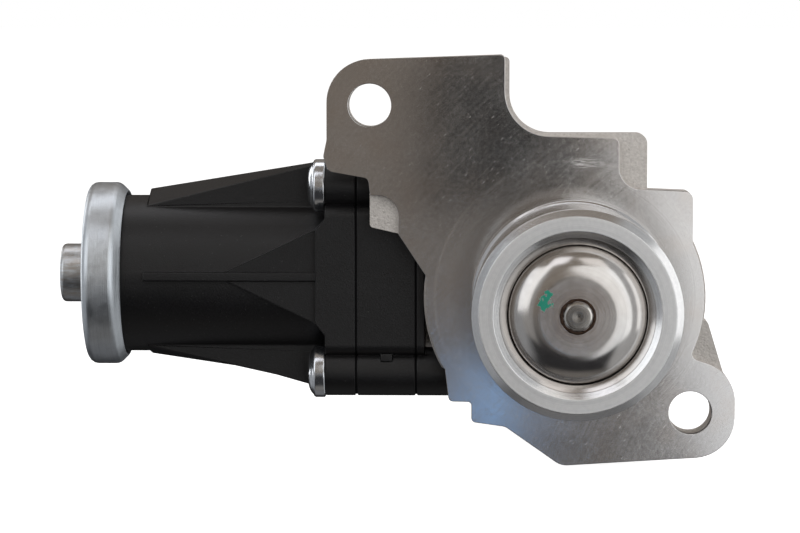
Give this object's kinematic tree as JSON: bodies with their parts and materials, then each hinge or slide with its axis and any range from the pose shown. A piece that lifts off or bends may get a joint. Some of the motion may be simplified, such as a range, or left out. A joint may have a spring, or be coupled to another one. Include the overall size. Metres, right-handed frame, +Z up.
{
  "type": "exhaust gas recirculation valve",
  "caption": "Poppet valve with a long spigot on a machined two-bolt flange, driven by an electric motor through gears and a spiral face cam.",
  "frame": {"origin": "where the valve stem's axis crosses the machined flange face", "axes": "+X right along the motor axis, away from the motor; +Z up; +Y from the flange face into the body, away from the spigot"},
  "size_m": [0.1445, 0.1237, 0.0859],
  "materials": {
    "cast_aluminium": "cast, with milled and turned faces",
    "cover_aluminium": "cast",
    "stainless": "turned",
    "stem_steel": "ground",
    "weld": "heat-tinted weld",
    "bronze": "sintered",
    "pressed_steel": "pressed sheet",
    "seal_rubber": "moulded",
    "spring_steel": "drawn wire",
    "hard_steel": "ground",
    "black_plastic": "moulded, satin",
    "gearbox_plastic": "moulded, satin",
    "zinc_plated": "satin zinc plate on pressed steel",
    "zinc_screws": "bright zinc plate",
    "gear_plastic": "moulded, natural",
    "magnet": "sintered",
    "iron": "pressed",
    "copper": "drawn",
    "carbon": "pressed carbon",
    "board": "glass-fibre board",
    "chip": "moulded"
  },
  "bodies": {
    "valve_housing": {"valve_body": "cast_aluminium", "rear_cover": "cover_aluminium", "seat_ring": "stainless", "stem_guide_bush": "bronze", "stem_scraper": "pressed_steel", "seal_retainer": "pressed_steel", "spring_seat": "pressed_steel", "brush_springs": "pressed_steel", "intermediate_gear_clip": "pressed_steel", "stem_seal": "seal_rubber", "output_shaft_seal": "seal_rubber", "end_cap_seal": "seal_rubber", "outer_gasket": "seal_rubber", "inner_gasket": "seal_rubber", "rear_cover_gasket": "seal_rubber", "return_spring": "spring_steel", "output_bearing_inner": "hard_steel", "output_bearing_outer": "hard_steel", "bearing_spacer": "hard_steel", "intermediate_axle": "hard_steel", "rear_motor_bearing": "hard_steel", "front_motor_bearing": "hard_steel", "locating_dowels": "hard_steel", "motor_housing": "black_plastic", "gear_housing": "gearbox_plastic", "adapter_plate": "gearbox_plastic", "motor_end_cap": "zinc_plated", "housing_screws": "zinc_screws", "rear_cover_screws": "zinc_screws", "brush_plate": "gear_plastic", "motor_magnets": "magnet", "flux_can": "iron", "connector_terminals": "copper", "motor_busbars": "copper", "carbon_brushes": "carbon", "sensor_board": "board", "position_sensor": "chip"},
    "valve": {"poppet_disc": "stainless", "stem_weld": "weld", "valve_stem": "stem_steel", "spring_retainer": "hard_steel", "retainer_collets": "hard_steel", "follower_pin": "hard_steel", "pin_spacer": "hard_steel"},
    "roller": {"follower_roller": "hard_steel"},
    "output_train": {"output_shaft": "hard_steel", "cam_disc": "hard_steel", "output_gear": "gear_plastic", "output_gear_clip": "pressed_steel", "position_magnet": "magnet"},
    "intermediate": {"intermediate_gear": "gear_plastic"},
    "rotor": {"motor_shaft": "hard_steel", "rotor_core": "iron", "rotor_windings": "copper", "commutator": "copper", "motor_pinion": "hard_steel", "thrust_washer": "pressed_steel"}
  },
  "joints": [
    {"name": "valve_lift", "type": "slide", "parent": "valve_housing", "child": "valve", "axis": [0, -1, 0], "range_m": [0, 0.006], "stiffness_N_per_m": 2000, "springref_m": -0.008, "deforming": ["return_spring"]},
    {"name": "motor_turn", "type": "hinge", "parent": "valve_housing", "child": "rotor", "pos_m": [-0.075, 0.029, 0.0028], "axis": [1, 0, 0], "range_deg": [0, 1335.37]},
    {"name": "intermediate_turn", "type": "hinge", "parent": "valve_housing", "child": "intermediate", "pos_m": [-0.04, 0.04296, -0.006], "axis": [1, 0, 0], "range_deg": [-392.78, 0]},
    {"name": "output_turn", "type": "hinge", "parent": "valve_housing", "child": "output_train", "pos_m": [-0.02, 0.05953, 0], "axis": [1, 0, 0], "range_deg": [0, 120.02]},
    {"name": "roller_turn", "type": "hinge", "parent": "valve", "child": "roller", "pos_m": [-0.0058, 0.05453, 0], "axis": [1, 0, 0], "range_deg": [-264.05, 0]}
  ],
  "couplings": [
    {"joint": "motor_turn", "follows": "valve_lift", "rad_per_m": 3884.2},
    {"joint": "intermediate_turn", "follows": "valve_lift", "rad_per_m": -1142.4},
    {"joint": "output_turn", "follows": "valve_lift", "rad_per_m": 349.07},
    {"joint": "roller_turn", "follows": "valve_lift", "rad_per_m": -767.94}
  ]
}
